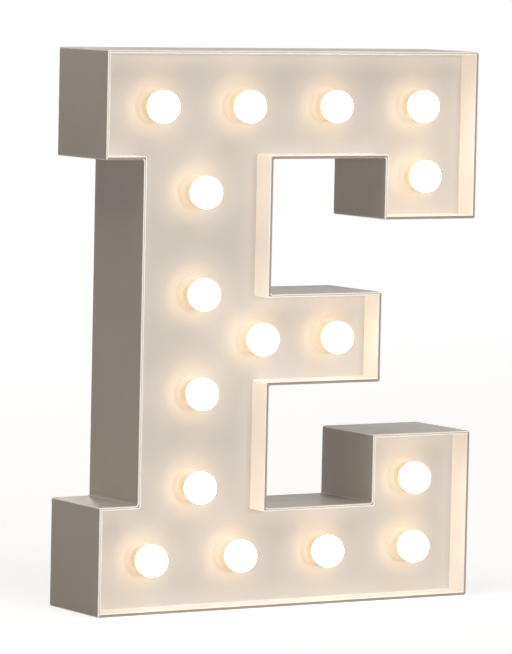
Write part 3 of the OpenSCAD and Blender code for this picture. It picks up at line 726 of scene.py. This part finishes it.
# The object
def make_object():
    # Plastics: roughness, then the size and strength of the mould grain
    letter = moulded_plastic("letter_plastic", LETTER_CREAM, 0.41, 0.3 * MM, 0.18)
    # The face's painted corner light stands for light bounced off the walls and the glow around the
    # lamps.
    face = moulded_plastic("face_plastic", FACE_GREY, 0.42, 0.3 * MM, 0.18, painted_corner_light=0.22)
    # Pale rim and corners: a painted highlight, and painted lamp light beside the recess.
    pale = moulded_plastic("rim_painted_highlight", RIM_PALE, 0.46, 0.3 * MM, 0.1, uneven=0.015)
    seam = moulded_plastic("rim_seam", SEAM_TAN, 0.6, 0.3 * MM, 0.2)
    # Brown on rim edges that face right or down: painted shade.
    shade = moulded_plastic("rim_painted_shade", RIM_SHADE, 0.5, 0.3 * MM, 0.1)
    # Paler cream on the recess walls: painted lamp light.
    wall = moulded_plastic("recess_wall_painted_lamplight", WALL_CREAM, 0.46, 0.3 * MM, 0.1, uneven=0.015)
    cover = moulded_plastic("cover_plastic", COVER_CREAM, 0.55, 0.45 * MM, 0.4)
    ink = moulded_plastic("switch_marks", MARK_BROWN, 0.5, 0.2 * MM, 0.2, 4 * MM)
    tray = moulded_plastic("tray_plastic", TRAY_CREAM, 0.52, 0.4 * MM, 0.3)
    nylon = moulded_plastic("clip_plastic", CLIP_NYLON, 0.45, 0.3 * MM, 0.2, 6 * MM)
    black = moulded_plastic("switch_plastic", SWITCH_BLACK, 0.42, 0.2 * MM, 0.25, 4 * MM)
    # Metals: roughness, then how many times finer the marks are along each axis
    steel = worked_metal("screw_steel", STEEL_GREY, 0.4, (1, 1, 1))
    nickel = worked_metal("contact_metal", NICKEL, 0.24, (6, 1, 1))
    zinc = worked_metal("switch_metal", ZINC, 0.36, (1, 1, 6))

    shell_materials = [letter, pale, seam, face, shade, wall]
    rounded_copy("front_shell", "letter_shell", "letter_plastic", shell_materials, 0.25 * MM,
        finish=finish_shell)
    rounded_copy("back_cover", "back_plate", "cover_plastic", [cover, ink], 0.3 * MM,
        finish=finish_cover)
    rounded_copy("battery_door", "door_panel", "cover_plastic", [cover], 0.22 * MM, "door")
    rounded_copy("battery_tray", "cell_tray", "tray_plastic", [tray], 0.2 * MM)
    for node in ("cover_screws", "tray_screws", "switch_screws"):
        rounded_copy(node, f"{node}_rounded", "screw_steel", [steel], 0.15 * MM)
    rounded_copy("switch_bracket", "switch_plate", "switch_metal", [zinc], 0.1 * MM)
    rounded_copy("switch_body", "switch_case", "switch_plastic", [black], 0.15 * MM)
    rounded_copy("switch_slider", "switch_knob", "switch_plastic", [black], 0.22 * MM, "slider")
    for node in ("contact_positive", "contact_negative", "contact_bridge"):
        rounded_copy(node, f"{node}_plate", "contact_metal", [nickel], 0.08 * MM)

    make_lamps()
    make_cell("cell_left", "battery_left", True, steel)
    make_cell("cell_right", "battery_right", False, steel)
    make_spring("spring_bridge", "bridge_coil", False, nickel)
    make_spring("spring_negative", "negative_coil", True, nickel)
    make_knob_ridges(black)

    paint(insulated_wire("wire_red", WIRE_RED), "wire_positive", "switch_lead")
    paint(insulated_wire("wire_black", WIRE_BLACK), "wire_negative")
    paint(nylon, "bulb_clips", "led_plugs")
    paint(nickel, "switch_terminals")
    low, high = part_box("led_01")
    resin = frosted_globe("led_resin", LED_RESIN, low.y, high.y, [
        (0.0, (2.0, 1.7, 1.2)),
        (0.6, (0.0, 0.0, 0.0)),
    ])
    paint(resin, *[f"led_{number:02d}" for number in range(1, LAMP_COUNT + 1)])


# Stage: floor, surroundings and lights
WHITE = (1.0, 1.0, 1.0, 1.0)
AMBIENT = 0.04
FLOOR_REACH = 40.0
FLOOR_ROUGHNESS = 0.9
FLOOR_SPECULAR = 0.1
FLOOR_LIFT = 0.69
FADE_START = 0.5
FADE_END = 1.6


def seen_directly(tree):
    """1 for rays from the camera, from a glossy surface or through glass."""
    path = tree.nodes.new("ShaderNodeLightPath")
    value = path.outputs["Is Camera Ray"]
    for other in ("Is Glossy Ray", "Is Transmission Ray"):
        largest = add_node(tree, "ShaderNodeMath", {"operation": "MAXIMUM"})
        tree.links.new(value, largest.inputs[0])
        tree.links.new(path.outputs[other], largest.inputs[1])
        value = largest.outputs["Value"]
    return value


def make_world():
    world = bpy.data.worlds.new("studio")
    bpy.context.scene.world = world
    world.use_nodes = True
    tree = world.node_tree
    tree.nodes.clear()
    soft = add_node(tree, "ShaderNodeBackground", Color=WHITE, Strength=AMBIENT)
    white = add_node(tree, "ShaderNodeBackground", Color=WHITE, Strength=1.0)
    mix = tree.nodes.new("ShaderNodeMixShader")
    output = tree.nodes.new("ShaderNodeOutputWorld")
    tree.links.new(seen_directly(tree), mix.inputs["Fac"])
    tree.links.new(soft.outputs["Background"], mix.inputs[1])
    tree.links.new(white.outputs["Background"], mix.inputs[2])
    tree.links.new(mix.outputs["Shader"], output.inputs["Surface"])


def floor_material():
    """Pale matt floor that keeps the shadow near the letter and fades to the white surroundings."""
    material, tree, shader = new_material("floor")
    shader.inputs["Base Color"].default_value = FLOOR_WHITE
    shader.inputs["Roughness"].default_value = FLOOR_ROUGHNESS
    shader.inputs["Specular IOR Level"].default_value = FLOOR_SPECULAR
    direct = seen_directly(tree)
    lift = add_node(tree, "ShaderNodeMath", {"operation": "MULTIPLY"})
    lift.inputs[1].default_value = FLOOR_LIFT
    tree.links.new(direct, lift.inputs[0])
    tree.links.new(lift.outputs["Value"], shader.inputs["Emission Strength"])
    shader.inputs["Emission Color"].default_value = WHITE
    length = add_node(tree, "ShaderNodeVectorMath", {"operation": "LENGTH"})
    tree.links.new(object_point(tree), length.inputs[0])
    fade = add_node(tree, "ShaderNodeMapRange", {"interpolation_type": "SMOOTHSTEP"},
        From_Min=FADE_START, From_Max=FADE_END)
    tree.links.new(length.outputs["Value"], fade.inputs["Value"])
    share = add_node(tree, "ShaderNodeMath", {"operation": "MULTIPLY"})
    tree.links.new(fade.outputs["Result"], share.inputs[0])
    tree.links.new(direct, share.inputs[1])
    white = add_node(tree, "ShaderNodeEmission", Color=WHITE, Strength=1.0)
    mix = tree.nodes.new("ShaderNodeMixShader")
    tree.links.new(share.outputs["Value"], mix.inputs["Fac"])
    tree.links.new(shader.outputs["BSDF"], mix.inputs[1])
    tree.links.new(white.outputs["Emission"], mix.inputs[2])
    tree.links.new(mix.outputs["Shader"], tree.nodes["Material Output"].inputs["Surface"])
    return material


def make_floor():
    mesh = bpy.data.meshes.new("floor")
    sides = ((-1, -1), (1, -1), (1, 1), (-1, 1))
    corners = [(x * FLOOR_REACH, y * FLOOR_REACH, 0) for x, y in sides]
    mesh.from_pydata(corners, [], [(0, 1, 2, 3)])
    mesh.materials.append(floor_material())
    floor = bpy.data.objects.new("floor", mesh)
    bpy.context.scene.collection.objects.link(floor)


# Name, azimuth, elevation, distance, width, height, watts and colour
SOFTBOXES = (
    ("key", -4, 5, 2.6, 2.0, 0.5, 47.0, (0.98, 0.99, 1.0)),
    ("overhead", 22, 56, 2.0, 0.9, 0.9, 8.4, (1.0, 0.98, 0.95)),
    ("left", -74, 62, 2.0, 1.2, 1.2, 11.6, (1.0, 0.94, 0.84)),
    ("rear", 173, 9, 2.2, 1.4, 0.75, 19.0, (1.0, 0.99, 0.97)),
)


def make_softbox(name, azimuth, elevation, distance, width, height, watts, colour):
    """Soft light that looks at the letter's middle. Azimuth 0 is in front, 90 is at the right."""
    lamp = bpy.data.lights.new(name, "AREA")
    lamp.shape = "RECTANGLE"
    lamp.size = width
    lamp.size_y = height
    lamp.energy = watts
    lamp.color = colour
    light = bpy.data.objects.new(name, lamp)
    bpy.context.scene.collection.objects.link(light)
    turn, rise = math.radians(azimuth), math.radians(elevation)
    flat = math.cos(rise)
    towards = Vector((math.sin(turn) * flat, -math.cos(turn) * flat, math.sin(rise)))
    target = (cad_box[0] + cad_box[1]) / 2
    light.location = target + towards * distance
    light.rotation_mode = "QUATERNION"
    light.rotation_quaternion = (-towards).to_track_quat("-Z", "Y")


# Camera, fitted to the corners of the letter in the 512 by 654 photograph
CAMERA_AT = Vector((-1.03485, -1.66743, 0.26719))
CAMERA_YAW = math.radians(31.7025)
CAMERA_PITCH = math.radians(4.5939)
CAMERA_ROLL = math.radians(1.2092)
FOCAL_PX = 4945.8
PHOTO_LONG_SIDE = 654
SENSOR = 36.0
NEAREST, FARTHEST = 0.01, 100.0


def make_camera():
    camera = bpy.data.objects.new("camera", bpy.data.cameras.new("camera"))
    bpy.context.scene.collection.objects.link(camera)
    flat = math.cos(CAMERA_PITCH)
    down = -math.sin(CAMERA_PITCH)
    ahead = Vector((math.sin(CAMERA_YAW) * flat, math.cos(CAMERA_YAW) * flat, down))
    level = Vector((math.cos(CAMERA_YAW), -math.sin(CAMERA_YAW), 0.0))
    upright = level.cross(ahead)
    right = math.cos(CAMERA_ROLL) * level + math.sin(CAMERA_ROLL) * upright
    up = -math.sin(CAMERA_ROLL) * level + math.cos(CAMERA_ROLL) * upright
    turn = Matrix((right, up, -ahead)).transposed().to_4x4()
    camera.matrix_world = Matrix.Translation(CAMERA_AT) @ turn
    camera.data.sensor_width = SENSOR
    camera.data.lens = FOCAL_PX / PHOTO_LONG_SIDE * SENSOR
    camera.data.clip_start = NEAREST
    camera.data.clip_end = FARTHEST
    bpy.context.scene.camera = camera


make_object()
make_world()
make_floor()
for softbox in SOFTBOXES:
    make_softbox(*softbox)
make_camera()
bpy.context.scene.view_settings.view_transform = "Standard"
